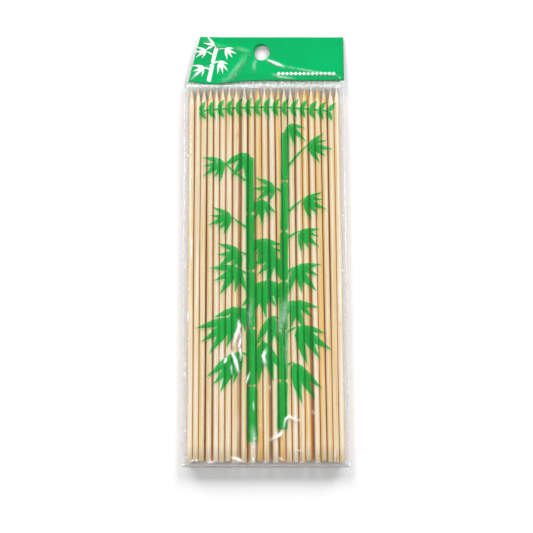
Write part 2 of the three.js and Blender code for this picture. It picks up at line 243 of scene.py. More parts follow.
def bamboo_material(sizes):
    """Split and turned bamboo: pale straw with fine fibres along it, and here and there a tan stretch."""
    made, tree = new_material("bamboo_turned")
    grain = add_node(tree, "ShaderNodeAttribute", attribute_name="grain").outputs["Vector"]
    tone = add_node(tree, "ShaderNodeAttribute", attribute_name="tone").outputs["Fac"]
    # Fibres are about 0.2 mm wide and run for centimetres, so the pattern is drawn out along the stick.
    fibre_place = add_node(tree, "ShaderNodeMapping", {
        "Vector": grain, "Scale": (1 / (0.35 * MM), 1 / (60 * MM), 1 / (0.35 * MM))}).outputs["Vector"]
    fibres = add_node(tree, "ShaderNodeTexNoise", {
        "Vector": fibre_place, "Scale": 1.0, "Detail": 3.0, "Roughness": 0.6}).outputs["Fac"]
    # Broad bands along a stick, where it was split nearer to the culm's skin.
    band_place = add_node(tree, "ShaderNodeMapping", {
        "Vector": grain, "Scale": (1 / (1.0 * MM), 1 / (65 * MM), 1 / (1.0 * MM))}).outputs["Vector"]
    bands = add_node(tree, "ShaderNodeTexNoise", {
        "Vector": band_place, "Scale": 1.0, "Detail": 2.0}).outputs["Fac"]
    banding = add_node(tree, "ShaderNodeMapRange", {
        "Value": bands, "From Min": 0.3, "From Max": 0.72}).outputs[0]
    shade = add_node(tree, "ShaderNodeMath", {0: tone, 1: banding}, operation="ADD").outputs[0]
    ramp = add_node(tree, "ShaderNodeValToRGB", {"Fac": add_node(
        tree, "ShaderNodeMapRange", {"Value": shade, "From Min": 0.25, "From Max": 1.65}).outputs[0]})
    ramp.color_ramp.elements[0].color = linear(sizes.pale)
    ramp.color_ramp.elements[1].color = linear(sizes.amber)
    for place, shade_hex in ((0.35, sizes.straw), (0.65, sizes.tan)):
        ramp.color_ramp.elements.new(place).color = linear(shade_hex)
    # Narrow olive streaks, where a trace of the culm's skin is left.
    skin_place = add_node(tree, "ShaderNodeMapping", {
        "Vector": grain, "Location": (3.1, 7.7, 1.3),
        "Scale": (1 / (1.1 * MM), 1 / (90 * MM), 1 / (1.1 * MM))}).outputs["Vector"]
    skin = add_node(tree, "ShaderNodeTexNoise", {
        "Vector": skin_place, "Scale": 1.0, "Detail": 1.0}).outputs["Fac"]
    left_on = add_node(tree, "ShaderNodeMapRange", {
        "Value": skin, "From Min": 0.52, "From Max": 0.72, "To Max": 0.7}).outputs[0]
    streaked = add_node(tree, "ShaderNodeMix", {
        "Factor": left_on, "A": ramp.outputs["Color"], "B": linear(sizes.skin)}, data_type="RGBA")
    # Painted shade: where a stick faces its neighbours, its flanks are tinted amber for the warm shade and
    # bounce light between sticks.
    across = add_node(tree, "ShaderNodeSeparateXYZ", {"Vector": grain}).outputs["X"]
    aside = add_node(tree, "ShaderNodeMath", {0: across}, operation="ABSOLUTE").outputs[0]
    painted_flank_shade = add_node(tree, "ShaderNodeMapRange", {
        "Value": aside, "From Min": 0.75 * MM, "From Max": 1.5 * MM, "To Max": 0.45}).outputs[0]
    shaded_colour = add_node(tree, "ShaderNodeMix", {
        "Factor": painted_flank_shade, "A": streaked.outputs["Result"], "B": linear(sizes.amber)}, data_type="RGBA")
    streak = add_node(tree, "ShaderNodeMapRange", {
        "Value": fibres, "From Min": 0.5, "From Max": 0.7, "To Max": 0.6}).outputs[0]
    colour = add_node(tree, "ShaderNodeMix", {
        "Factor": streak, "A": shaded_colour.outputs["Result"], "B": linear(sizes.fibre)}, data_type="RGBA")
    # Brown flecks a few millimetres long, left by the culm's pores.
    fleck_place = add_node(tree, "ShaderNodeMapping", {
        "Vector": grain, "Location": (1.7, 2.9, 8.3),
        "Scale": (1 / (0.8 * MM), 1 / (7 * MM), 1 / (0.8 * MM))}).outputs["Vector"]
    pores = add_node(tree, "ShaderNodeTexNoise", {
        "Vector": fleck_place, "Scale": 1.0, "Detail": 1.0}).outputs["Fac"]
    fleck = add_node(tree, "ShaderNodeMapRange", {
        "Value": pores, "From Min": 0.72, "From Max": 0.8, "To Max": 0.6}).outputs[0]
    flecked = add_node(tree, "ShaderNodeMix", {
        "Factor": fleck, "A": colour.outputs["Result"], "B": linear(sizes.fleck)}, data_type="RGBA")
    bump = add_node(tree, "ShaderNodeBump", {
        "Height": fibres, "Strength": 0.5, "Distance": 0.04 * MM}).outputs["Normal"]
    wood = add_node(tree, "ShaderNodeBsdfPrincipled", {
        "Base Color": flecked.outputs["Result"], "Roughness": 0.55, "IOR": 1.5, "Normal": bump})
    finish_material(tree, wood.outputs["BSDF"])
    return made


def film_dents(tree, strength):
    """The normal of handled film, with small dents a few millimetres across."""
    place = add_node(tree, "ShaderNodeTexCoord").outputs["Object"]
    dents = add_node(tree, "ShaderNodeTexNoise", {
        "Vector": place, "Scale": 1 / (4 * MM), "Detail": 2.0}).outputs["Fac"]
    return add_node(tree, "ShaderNodeBump", {
        "Height": dents, "Strength": strength, "Distance": 0.3 * MM}).outputs["Normal"]


def glossed(tree, body, normal):
    """A film's surface: the body under a sharp gloss on its outer side, and clear on its inner side."""
    fresnel = add_node(tree, "ShaderNodeFresnel", {"IOR": 1.49, "Normal": normal}).outputs["Fac"]
    gloss = add_node(tree, "ShaderNodeBsdfGlossy", {
        "Color": linear("#ffffff"), "Roughness": 0.13, "Normal": normal}).outputs["BSDF"]
    outer = add_node(tree, "ShaderNodeMixShader", {0: fresnel, 1: body, 2: gloss}).outputs["Shader"]
    clear = add_node(tree, "ShaderNodeBsdfTransparent").outputs["BSDF"]
    inner = add_node(tree, "ShaderNodeNewGeometry").outputs["Backfacing"]
    return add_node(tree, "ShaderNodeMixShader", {0: inner, 1: outer, 2: clear}).outputs["Shader"]


def paint_white_glare(tree, body, least=0.0):
    """The body mixed with milky white: painted glare along creases, the welds' milkiness, and painted light
    where the film lies in shade; the edge of the white is broken.
    """
    place = add_node(tree, "ShaderNodeTexCoord").outputs["Object"]
    drawn_out = add_node(tree, "ShaderNodeMapping", {
        "Vector": place, "Scale": (1 / (0.9 * MM), 1 / (2.4 * MM), 1 / (2 * MM))}).outputs["Vector"]
    ragged = add_node(tree, "ShaderNodeTexNoise", {"Vector": drawn_out, "Scale": 1.0, "Detail": 3.0})
    amount = add_node(tree, "ShaderNodeAttribute", attribute_name="glare_and_weld_white").outputs["Fac"]
    torn = add_node(tree, "ShaderNodeMath", {0: ragged.outputs["Fac"], 1: -0.4}, operation="ADD").outputs[0]
    share = add_node(tree, "ShaderNodeMath", {0: torn, 1: amount}, operation="ADD").outputs[0]
    share = add_node(tree, "ShaderNodeMath", {0: share, 1: amount}, operation="MULTIPLY").outputs[0]
    white = add_node(tree, "ShaderNodeMapRange", {
        "Value": share, "From Min": 0.0, "From Max": 0.62, "To Min": least, "To Max": 0.95}).outputs[0]
    # White diffuse: painted glare on the creases, as well as the film's own milkiness.
    milk = add_node(tree, "ShaderNodeBsdfDiffuse", {"Color": linear("#fdfdfe")}).outputs["BSDF"]
    return add_node(tree, "ShaderNodeMixShader", {0: white, 1: body, 2: milk}).outputs["Shader"]


def film_material(sizes):
    """Cast polypropylene film: clear with a faint milkiness, a sharp gloss, and painted glare drawn white
    on its creases.
    """
    if FILM_NAME in bpy.data.materials:
        return bpy.data.materials[FILM_NAME]
    made, tree = new_material(FILM_NAME)
    clear = add_node(tree, "ShaderNodeBsdfTransparent", {"Color": linear("#fafafb")}).outputs["BSDF"]
    finish_material(tree, glossed(tree, paint_white_glare(tree, clear, sizes.haze), film_dents(tree, 0.5)))
    return made


def green_ink_material(sizes):
    """Gravure ink on the film: a green glass over the sticks, with a little body, under a gloss, with
    painted glare drawn white on its creases.
    """
    made, tree = new_material("gravure_ink_green")
    glass = add_node(
        tree, "ShaderNodeBsdfTransparent", {"Color": linear(sizes.green_glass)}).outputs["BSDF"]
    body = add_node(tree, "ShaderNodeBsdfDiffuse", {"Color": linear(sizes.green)}).outputs["BSDF"]
    ink = add_node(tree, "ShaderNodeMixShader", {0: 0.1, 1: glass, 2: body}).outputs["Shader"]
    finish_material(tree, glossed(tree, paint_white_glare(tree, ink), film_dents(tree, 0.5)))
    return made


def printed_film_material(name, hex_colour):
    """Film backed by an opaque ink: an even colour under a clear gloss, with painted glare drawn white on
    its creases.
    """
    made, tree = new_material(name)
    place = add_node(tree, "ShaderNodeTexCoord").outputs["Object"]
    mottle = add_node(tree, "ShaderNodeTexNoise", {
        "Vector": place, "Scale": 1 / (7 * MM), "Detail": 3.0}).outputs["Fac"]
    base = linear(hex_colour)
    deeper = tuple(0.86 * c for c in base[:3]) + (1.0,)
    colour = add_node(tree, "ShaderNodeMix", {
        "Factor": mottle, "A": base, "B": deeper}, data_type="RGBA")
    bump = add_node(tree, "ShaderNodeBump", {
        "Height": mottle, "Strength": 0.4, "Distance": 0.3 * MM}).outputs["Normal"]
    film = add_node(tree, "ShaderNodeBsdfPrincipled", {
        "Base Color": colour.outputs["Result"], "Roughness": 0.16, "IOR": 1.49, "Normal": bump})
    finish_material(tree, paint_white_glare(tree, film.outputs["BSDF"]))
    return made


def knurl_material():
    """Heat-pressed film: the dots of the weld turn milky and take a green cast from the header's ink."""
    made, tree = new_material("polypropylene_film_welded")
    place = add_node(tree, "ShaderNodeTexCoord").outputs["Object"]
    clouds = add_node(tree, "ShaderNodeTexNoise", {
        "Vector": place, "Scale": 1 / (1.8 * MM), "Detail": 2.0}).outputs["Fac"]
    patches = add_node(tree, "ShaderNodeMapRange", {
        "Value": clouds, "From Min": 0.36, "From Max": 0.64}).outputs[0]
    colour = add_node(tree, "ShaderNodeMix", {
        "Factor": patches, "A": linear("#ffffff"), "B": linear("#74a889")}, data_type="RGBA")
    clear = add_node(tree, "ShaderNodeBsdfTransparent").outputs["BSDF"]
    milk = add_node(tree, "ShaderNodeBsdfPrincipled", {
        "Base Color": colour.outputs["Result"], "Roughness": 0.25}).outputs["BSDF"]
    finish_material(tree, add_node(
        tree, "ShaderNodeMixShader", {0: 0.85, 1: clear, 2: milk}).outputs["Shader"])
    return made


# Film surfaces

CREASES = (
    # Each crease: its points along the crest (mm), its height and half width (mm), and how much painted
    # glare it carries, drawn white.
    # The zigzag left of the middle, where the pouch was gripped.
    (((-14.4, -35.9), (-14.1, -39.2), (-15.6, -44.1), (-17.6, -50.0)), 0.55, 0.95, 1.0),
    (((-18.6, -51.6), (-16.2, -56.7), (-14.1, -64.0)), 0.50, 0.90, 1.0),
    (((-13.8, -39.9), (-13.2, -45.3), (-14.1, -49.5), (-13.2, -53.1), (-13.2, -57.2)), 0.35, 0.60, 1.0),
    (((-20.6, -55.4), (-21.8, -58.8)), 0.35, 0.70, 0.9),
    (((-18.4, -58.6), (-17.7, -65.0)), 0.30, 0.45, 0.7),
    (((0.1, -51.0), (-1.3, -55.3), (-0.3, -59.3)), 0.50, 0.95, 1.0),
    (((-8.4, -63.0), (-10.9, -70.6)), 0.34, 0.50, 0.8),
    (((1.9, -69.6), (2.4, -73.6)), 0.26, 0.45, 0.6),
    (((-6.6, -78.0), (-6.5, -83.6)), 0.26, 0.45, 0.6),
    (((-4.2, -81.0), (-2.6, -82.8)), 0.26, 0.40, 0.6),
    (((-3.6, -90.2), (-2.4, -92.8)), 0.26, 0.40, 0.6),
    # The hook and its tail at the lower right.
    (((9.2, -92.6), (10.2, -88.1), (12.2, -86.3), (15.1, -88.0), (18.2, -88.6)), 0.42, 0.65, 1.0),
    (((9.4, -93.8), (6.7, -96.5), (1.4, -99.2)), 0.42, 1.10, 0.75),
    # Flat spots that lie on the sticks, drawn frosted white as painted broad reflections.
    (((10.9, -24.0), (9.4, -33.0), (7.0, -43.0)), 0.28, 2.60, 0.34),
    (((10.9, -39.0), (11.1, -50.0), (10.9, -63.0)), 0.24, 1.80, 0.26),
    (((-7.6, -24.0), (-8.9, -42.0)), 0.22, 1.60, 0.26),
    (((-6.6, -92.0), (-6.3, -100.0), (-5.9, -110.5)), 0.20, 1.50, 0.50),
    (((-14.5, -84.0), (-15.0, -98.0)), 0.16, 1.30, 0.25),
    (((21.5, -96.0), (22.5, -110.0)), 0.16, 1.10, 0.35),
    (((37.0, -100.0), (36.0, -111.0)), 0.16, 0.90, 0.40),
    # The margins and the foot.
    (((-39.0, 8.0), (-39.3, -7.0)), 0.30, 0.45, 0.8),
    (((-40.8, -29.0), (-40.8, -38.6)), 0.30, 0.45, 1.0),
    (((-40.6, -17.0), (-40.6, -22.0)), 0.24, 0.40, 0.8),
    (((-18.6, -107.9), (-14.6, -108.9), (-11.6, -110.6)), 0.40, 0.90, 0.9),
    (((-31.5, -110.9), (-26.8, -110.3)), 0.26, 0.60, 0.8),
    (((-6.8, -107.4), (-6.2, -110.8)), 0.26, 0.70, 0.8),
    (((6.6, -108.2), (9.4, -109.4)), 0.26, 0.60, 0.7),
    (((14.2, -104.2), (20.6, -104.6)), 0.24, 0.40, 0.5),
    (((38.6, -20.0), (39.4, -34.0)), 0.22, 0.45, 0.5),
    (((24.0, -83.0), (25.4, -85.4)), 0.24, 0.50, 0.6),
    (((17.6, 27.0), (18.0, 20.0)), 0.20, 0.40, 0.35),
    (((-26.0, 52.0), (-25.6, 44.0)), 0.20, 0.40, 0.3),
)

HEADER_CREASES = (
    # Each fold as in CREASES: its last number is painted glare, drawn white.
    (((0.4, 101.2), (4.8, 99.4), (9.4, 97.5)), 0.60, 0.75, 1.0),
    (((8.0, 98.0), (21.7, 95.4), (40.3, 92.1)), 0.24, 0.60, 0.30),
    (((3.0, 93.7), (7.6, 91.9), (15.0, 91.1)), 0.40, 0.55, 0.5),
    (((-5.6, 101.6), (-6.5, 95.2)), 0.40, 1.00, 0.30),
    (((-39.4, 91.2), (-36.6, 94.4), (-30.4, 98.2)), 0.40, 0.55, 0.6),
    (((-24.4, 90.4), (-19.1, 92.4), (-13.4, 98.8), (-9.4, 104.6)), 0.80, 1.80, 0.22),
    (((-16.0, 107.2), (-9.0, 105.6)), 0.40, 1.20, 0.25),
    (((-33.0, 112.0), (-27.0, 108.4), (-20.0, 107.8)), 0.50, 1.20, 0.15),
)


def scuffs(count, draw):
    """Short random creases with painted glints, most of them in the margins and along the foot, where a
    pouch is handled.
    """
    made = []
    for _ in range(count):
        where = draw.random()
        y = draw.uniform(FOOT_Y + 4 * MM, MOUTH_Y - 4 * MM)
        side = -1 if where < 0.45 else 1
        x = edge_x(side, y) - side * draw.uniform(0.4, 3.0) * MM
        slope = draw.uniform(0.9, 2.1)
        if where > 0.75:
            y = FOOT_Y + draw.uniform(0.5, 4.5) * MM
            x = draw.uniform(edge_x(-1, y), edge_x(1, y))
            slope = draw.uniform(-0.6, 0.6)
        length, half_width = draw.uniform(0.7, 2.6), draw.uniform(0.28, 0.45)
        end = (x / MM + length * math.cos(slope), y / MM + length * math.sin(slope))
        made.append((((x / MM, y / MM), end), 0.55 * half_width, half_width, draw.uniform(0.35, 1.0)))
    return tuple(made)


def with_reach(creases):
    """Creases with the box that each one reaches, so that far ones are passed over quickly."""
    return [
        (min(x for x, y in points) - 3 * half_width, max(x for x, y in points) + 3 * half_width,
         min(y for x, y in points) - 3 * half_width, max(y for x, y in points) + 3 * half_width,
         points, height, half_width, glare_strength)
        for points, height, half_width, glare_strength in creases]


FRONT_CREASES = with_reach(CREASES + scuffs(90, random.Random(7)))
HEADER_FOLDS = with_reach(HEADER_CREASES)


def distance_to(points, x, y):
    """The distance to a line of points, and the share of it that is passed, all in mm."""
    best, share = 1e9, 0.0
    for i, ((ax, ay), (bx, by)) in enumerate(zip(points, points[1:])):
        dx, dy = bx - ax, by - ay
        t = max(0.0, min(1.0, ((x - ax) * dx + (y - ay) * dy) / (dx * dx + dy * dy)))
        gap = math.hypot(x - ax - t * dx, y - ay - t * dy)
        if gap < best:
            best, share = gap, (i + t) / (len(points) - 1)
    return best, share


def crease_at(creases, x, y):
    """How far creases raise the film at a place (m), and how much painted glare they lay on it; both fade
    at the ends.
    """
    x_mm, y_mm = x / MM, y / MM
    lift = white = 0.0
    for left, right, low, high, points, height, half_width, glare_strength in creases:
        if not (left < x_mm < right and low < y_mm < high):
            continue
        gap, share = distance_to(points, x_mm, y_mm)
        # A crease swells and thins along its length.
        gap /= 0.55 + 0.8 * (0.5 + 0.5 * noise.noise(Vector((x_mm / 1.7, y_mm / 2.6, 3.0))))
        fade = math.sin(math.pi * min(1.0, max(0.0, 0.1 + 0.8 * share)))
        crest = fade * math.exp(-(gap / half_width) ** 2)
        lift += height * crest
        white = max(white, glare_strength * crest)
    return lift * MM, white


def mark_creases(shape, creases, weld_light=None):
    """Keep on each point of a sheet how white its creases' painted glare turns it, and its welds' milk and
    painted light if it has them.
    """
    layer = shape.verts.layers.float.new("glare_and_weld_white")
    for vert in shape.verts:
        white = crease_at(creases, vert.co.x, vert.co.y)[1]
        vert[layer] = max(white, weld_light(vert.co.x, vert.co.y)) if weld_light else white


def weld_milk_and_painted_light(x, y):
    """How white the film is drawn at its welds: their own milkiness, raised at the foot and under the mouth
    as painted light over the shade there.
    """
    side = min(x - edge_x(-1, y), edge_x(1, y) - x)
    foot = y - FOOT_Y
    return max(0.85 * math.exp(-(foot / (2.1 * MM)) ** 2), 0.48 * math.exp(-(side / (1.3 * MM)) ** 2),
               0.56 * math.exp(-((MOUTH_Y - y) / (5.0 * MM)) ** 2))


def climb(distance, weld, run, bulge):
    """The film's height at a distance from an edge: 0 on the weld and 1 over the sticks."""
    return 1 - (1 - min(1.0, max(0.0, (distance - weld) / run))) ** bulge


def pouch_rise(film, x, y):
    """The climb from all four edges: slanting at the sides, and steep over the butts and points."""
    side = min(x - edge_x(-1, y), edge_x(1, y) - x)
    return (climb(side, film.weld, film.side_run, 1.6)
            * climb(y - FOOT_Y, film.foot_weld, film.foot_run, 1.4)
            * climb(MOUTH_Y - y, film.mouth_weld, film.mouth_run, 4.0))


def front_height(film, x, y):
    """The front panel's surface: over the sticks, rippled along them, and raised at its creases."""
    rise = pouch_rise(film, x, y)
    level = STICK_TOP + film.clearance
    slack = 0.5 + 0.5 * noise.noise(Vector((x / (16 * MM), y / (60 * MM), 0.0)))
    ripple = 0.5 + 0.5 * noise.noise(Vector((x / (3.4 * MM), y / (45 * MM), 5.0)))
    crinkle = 0.5 + 0.5 * noise.noise(Vector((x / (2.6 * MM), y / (4.5 * MM), 9.0)))
    edge = 1 - min(1.0, min(x - edge_x(-1, y), edge_x(1, y) - x, y - FOOT_Y) / (9 * MM))
    waves = (0.30 * slack + 0.16 * ripple + (0.05 + 0.5 * edge * edge) * crinkle) * MM
    # Under the mouth the film puckers between the points.
    mouth = max(0.0, 1 - (MOUTH_Y - y) / (12 * MM))
    pucker = noise.noise(Vector((x / (2.1 * MM), y / (3.2 * MM), 4.0)))
    waves += 0.9 * mouth * max(0.0, pucker) * MM
    weld = SEAM_Z + film.wall
    return weld + rise * (level + waves - weld) + rise ** 2 * crease_at(FRONT_CREASES, x, y)[0]


def back_height(film, x, y):
    """The back panel's surface: flat under the sticks, and up at the welds."""
    rise = pouch_rise(film, x, y)
    weld = SEAM_Z - film.wall
    return weld + rise * (film.wall + 0.02 * MM - weld)


def header_place(x, y):
    """The header's surface: it droops to the surface, its top left corner curls, and it is creased."""
    share = (y - HEADER_LOW.y) / (HEADER_HIGH.y - HEADER_LOW.y)
    droop = SEAM_Z + (HEADER_LOW.z + 0.3 * MM - SEAM_Z) * max(0.0, share)
    corner = max(0.0, (-22 * MM - x) / (22 * MM)) * max(0.0, share)
    turn = max(0.0, (x - 37.5 * MM) / (3.5 * MM))
    swell = 0.5 + 0.5 * noise.noise(Vector((x / (22 * MM), y / (18 * MM), 2.0)))
    lift = 3.0 * MM * corner ** 1.5 + 0.9 * MM * swell * min(1.0, 6 * max(0.0, share))
    lift -= 1.2 * MM * turn ** 2 * (1 - share)
    sag = 2.0 * MM * math.exp(-((x + 27 * MM) / (13 * MM)) ** 2) * max(0.0, 1 - 2.2 * share)
    over_weld = 0.45 * MM * max(0.0, 1 - 2.2 * share)
    return y - sag, droop + lift + over_weld + crease_at(HEADER_FOLDS, x, y)[0]


# Meshes

def link_piece(name, mesh, material, nodes=()):
    """A finished piece: shaded smooth, riding on the pack, with its finish and the nodes it replaces."""
    piece = bpy.data.objects.new(name, mesh)
    bpy.context.scene.collection.objects.link(piece)
    mesh.materials.append(material)
    mesh.shade_smooth()
    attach(piece, BODY)
    if nodes:
        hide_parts(*nodes)
    return piece


def give_wall(piece, wall):
    """Thickness for a sheet, grown to its outer side."""
    solid = piece.modifiers.new("wall", "SOLIDIFY")
    solid.thickness = wall
    solid.offset = 1.0


def from_bmesh(name, shape, up=None):
    """A mesh from a bmesh: a closed shape faces outward, and an open sheet up (1) or down (-1)."""
    bmesh.ops.recalc_face_normals(shape, faces=shape.faces)
    if up and up * sum(face.normal.z for face in shape.faces) < 0:
        bmesh.ops.reverse_faces(shape, faces=shape.faces)
    mesh = bpy.data.meshes.new(name)
    shape.to_mesh(mesh)
    shape.free()
    return mesh


def panel_shape(film, height, cell):
    """A grid drawn out to the pouch's outline, then raised to one of its two surfaces."""
    shape = bmesh.new()
    columns = round((EDGES[1][0] - EDGES[-1][0]) / cell)
    rows = round((MOUTH_Y - FOOT_Y) / cell)
    bmesh.ops.create_grid(shape, x_segments=columns, y_segments=rows, size=0.5)
    for vert in shape.verts:
        y = FOOT_Y + (vert.co.y + 0.5) * (MOUTH_Y - FOOT_Y)
        left, right = edge_x(-1, y), edge_x(1, y)
        # Columns crowd towards the sides, where the film climbs.
        across = vert.co.x + 0.5
        across -= 0.06 * math.sin(2 * math.pi * across)
        x = left + across * (right - left)
        vert.co = (x, y, height(film, x, y))
    return shape


def top_sheet(node, cell):
    """The upper faces of a flat CAD piece, cut into small cells so that they can bend."""
    shape = bmesh.new()
    shape.from_mesh(frame["nodes"][node].data)
    bmesh.ops.remove_doubles(shape, verts=shape.verts, dist=0.002 * MM)
    shape.normal_update()
    lower = [face for face in shape.faces if face.normal.z < 0.5]
    bmesh.ops.delete(shape, geom=lower, context="FACES")
    low, high = (Vector(corner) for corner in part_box(node))
    for axis in (0, 1):
        direction = Vector((0, 0, 0))
        direction[axis] = 1
        for i in range(1, math.ceil((high[axis] - low[axis]) / cell)):
            place = Vector((0, 0, 0))
            place[axis] = low[axis] + i * cell
            bmesh.ops.bisect_plane(
                shape, geom=shape.verts[:] + shape.edges[:] + shape.faces[:], dist=0.001 * MM,
                plane_co=place, plane_no=direction)
    return shape


def stick_ends(name):
    """The middle of a stick's butt, its point and its radius, read from its CAD node."""
    places = [v.co for v in frame["nodes"][name].data.vertices]
    point = max(places, key=lambda place: place.y)
    axis_z = (max(p.z for p in places) + min(p.z for p in places)) / 2
    radius = (max(p.z for p in places) - min(p.z for p in places)) / 2
    butt_y = min(p.y for p in places)
    butt = [p for p in places if p.y < butt_y + 0.15 * MM]
    butt_x = sum(p.x for p in butt) / len(butt)
    return Vector((butt_x, butt_y, axis_z)), Vector((point.x, point.y, axis_z)), radius


def stick_mesh(name, sizes, draw):
    """A turned stick: a profile with a cut butt and a long point, spun round and bent a little."""
    butt, point, radius = stick_ends(name)
    length = (point - butt).length
    shoulder = length - sizes.point_length
    rings = round(shoulder / sizes.ring_step)
    profile = [(0.0, 0.0), (0.9 * radius, 0.02 * MM), (radius, 0.2 * MM)]
    profile += [(radius, shoulder * i / rings) for i in range(1, rings)]
    profile += [
        (0.99 * radius, shoulder), (0.86 * radius, shoulder + 0.16 * sizes.point_length),
        (0.45 * radius, shoulder + 0.55 * sizes.point_length), (0.1 * radius, length - 0.25 * MM),
        (0.0, length)]
    shape = bmesh.new()
    verts = [shape.verts.new((across, along, 0.0)) for across, along in profile]
    edges = [shape.edges.new(pair) for pair in zip(verts, verts[1:])]
    bmesh.ops.spin(
        shape, geom=verts + edges, axis=(0, 1, 0), cent=(0, 0, 0), angle=2 * math.pi,
        steps=sizes.sides, use_merge=True, use_duplicate=False)
    bmesh.ops.remove_doubles(shape, verts=shape.verts, dist=0.002 * MM)
    grain = shape.verts.layers.float_vector.new("grain")
    tone = shape.verts.layers.float.new("tone")
    phase, offset = draw.uniform(0, 9), draw.uniform(0, 5)
    # The front layer is mostly pale at random; the back one, seen only in the gaps, is tan to amber, a
    # deeper tone set to paint the warm shade of the gaps.
    own_tone = 0.5 + 0.4 * draw.random() if "back" in name else 0.55 * draw.random() ** 1.5
    for vert in shape.verts:
        vert[grain] = vert.co + Vector((0, offset, 0))
        vert[tone] = own_tone
        stray = math.sin(phase + 2.3 * math.pi * vert.co.y / length)
        vert.co.x += sizes.waver * stray * math.sin(math.pi * vert.co.y / length)
        vert.co.z += 0.5 * sizes.waver * stray
    turn = Vector((0, 1, 0)).rotation_difference(point - butt)
    place = Matrix.Translation(butt) @ turn.to_matrix().to_4x4()
    bmesh.ops.transform(shape, matrix=place, verts=shape.verts)
    return from_bmesh(name, shape)


# Operators, one for each group of pieces

class PACK_OT_sticks(bpy.types.Operator):
    """Turn the bamboo sticks of both layers"""
    bl_idname = "stick_pack.sticks"
    bl_label = "Bamboo sticks"

    def execute(self, context):
        sizes = context.scene.pack_sticks
        material = bamboo_material(sizes)
        draw = random.Random(20)
        for name in sorted(n for n in frame["nodes"] if n.startswith("stick_")):
            link_piece(f"bamboo_{name}", stick_mesh(name, sizes, draw), material, (name,))
        return {"FINISHED"}


class PACK_OT_pouch(bpy.types.Operator):
    """Lay the pouch's two film panels and press its knurled mouth weld"""
    bl_idname = "stick_pack.pouch"
    bl_label = "Film pouch"

    def execute(self, context):
        film = context.scene.pack_film
        material = film_material(film)
        front = panel_shape(film, front_height, film.cell)
        mark_creases(front, FRONT_CREASES, weld_milk_and_painted_light)
        # The back panel lies flat and out of sight, so a coarser grid does.
        back = panel_shape(film, back_height, 2 * film.cell)
        for name, shape, up in (("front_film", front, 1), ("back_film", back, -1)):
            mesh = from_bmesh(name, shape, up)
            give_wall(link_piece(f"pouch_{name}", mesh, material, (name,)), film.wall)
        self.knurl(film)
        return {"FINISHED"}

    def knurl(self, film):
        """Rows of pressed dots over the mouth weld and down onto the film that climbs from it."""
        shape = bmesh.new()
        pitch = film.knurl_pitch
        rows = round(film.knurl_width / (pitch * 0.87))
        for row in range(rows):
            y = MOUTH_Y - 0.3 * pitch - row * film.knurl_width / rows
            x = edge_x(-1, y) + (0.8 + 0.5 * (row % 2)) * pitch
            while x < edge_x(1, y) - 0.6 * pitch:
                stand, normal = self.film_top(film, x, y)
                turn = Vector((0, 0, 1)).rotation_difference(normal).to_matrix().to_4x4()
                bmesh.ops.create_cone(
                    shape, cap_ends=True, cap_tris=False, segments=6, radius1=0.42 * pitch,
                    radius2=0.2 * pitch, depth=0.14 * MM,
                    matrix=Matrix.Translation(stand + 0.08 * MM * normal) @ turn)
                x += pitch
        mesh = from_bmesh("mouth_weld_knurl", shape)
        link_piece("mouth_weld_knurl", mesh, knurl_material())

    def film_top(self, film, x, y):
        """A place on the front film's outer face, and its normal there."""
        step = 0.1 * MM
        here = front_height(film, x, y)
        rise_x = (front_height(film, x + step, y) - here) / step
        rise_y = (here - front_height(film, x, y - step)) / step
        return Vector((x, y, here + film.wall)), Vector((-rise_x, -rise_y, 1)).normalized()


class PACK_OT_print(bpy.types.Operator):
    """Print the bamboo and the leaf garland on the front film"""
    bl_idname = "stick_pack.print"
    bl_label = "Green print"

    def execute(self, context):
        sizes, film = context.scene.pack_print, context.scene.pack_film
        material = green_ink_material(sizes)
        for node in ("bamboo_print", "garland_print"):
            shape = top_sheet(node, sizes.cell)
            mark_creases(shape, FRONT_CREASES)
            for vert in shape.verts:
                vert.co.z = front_height(film, vert.co.x, vert.co.y) + film.wall + INK_GAP
            piece = link_piece(f"ink_{node}", from_bmesh(node, shape, 1), material, (node,))
            give_wall(piece, sizes.wall)
        return {"FINISHED"}


class PACK_OT_header(bpy.types.Operator):
    """Crease the header and print it"""
    bl_idname = "stick_pack.header"
    bl_label = "Header"

    def execute(self, context):
        sizes, film = context.scene.pack_print, context.scene.pack_film
        white = printed_film_material("gravure_ink_white", sizes.white)
        green = printed_film_material("polypropylene_film_green", sizes.header_green)
        layers = (
            ("header_film", film_material(film), "clear_film", film.wall, PLY_GAPS["film"]),
            ("header_green", green, "header_green", sizes.wall, PLY_GAPS["green"]),
            ("header_sprig", white, "white_ink", sizes.wall, PLY_GAPS["white"]),
            ("header_rule", white, "white_ink", sizes.wall, PLY_GAPS["white"]),
        )
        for node, material, slot, wall, above in layers:
            shape = self.ply(node, sizes.cell, above)
            mesh = from_bmesh(node, shape, 1)
            give_wall(link_piece(f"printed_{node}", mesh, material, (node,)), wall)
        # The back ply's hole has slipped down and to the right, so its green shows in the front one.
        back = self.ply("header_green", sizes.cell, PLY_GAPS["back"])
        hole = self.hole_middle()
        for vert in back.verts:
            near = math.exp(-((vert.co.xy - hole).length / (9 * MM)) ** 4)
            vert.co.xy += near * Vector((sizes.slip, -sizes.slip))
        mesh = from_bmesh("header_back", back, -1)
        give_wall(link_piece("printed_header_back", mesh, green), sizes.wall)
        return {"FINISHED"}

    def ply(self, node, cell, above):
        """One of the header's flat pieces, laid on the header's creased surface."""
        shape = top_sheet(node, cell)
        mark_creases(shape, HEADER_FOLDS)
        for vert in shape.verts:
            y, z = header_place(vert.co.x, vert.co.y)
            vert.co.y, vert.co.z = y, z + above
        return shape

    def hole_middle(self):
        """The middle of the hang hole, read from the record."""
        low, high = frame["record"]["physics"]["openings"][0]["box_m"]
        return Vector(((low[0] + high[0]) / 2, (low[1] + high[1]) / 2))


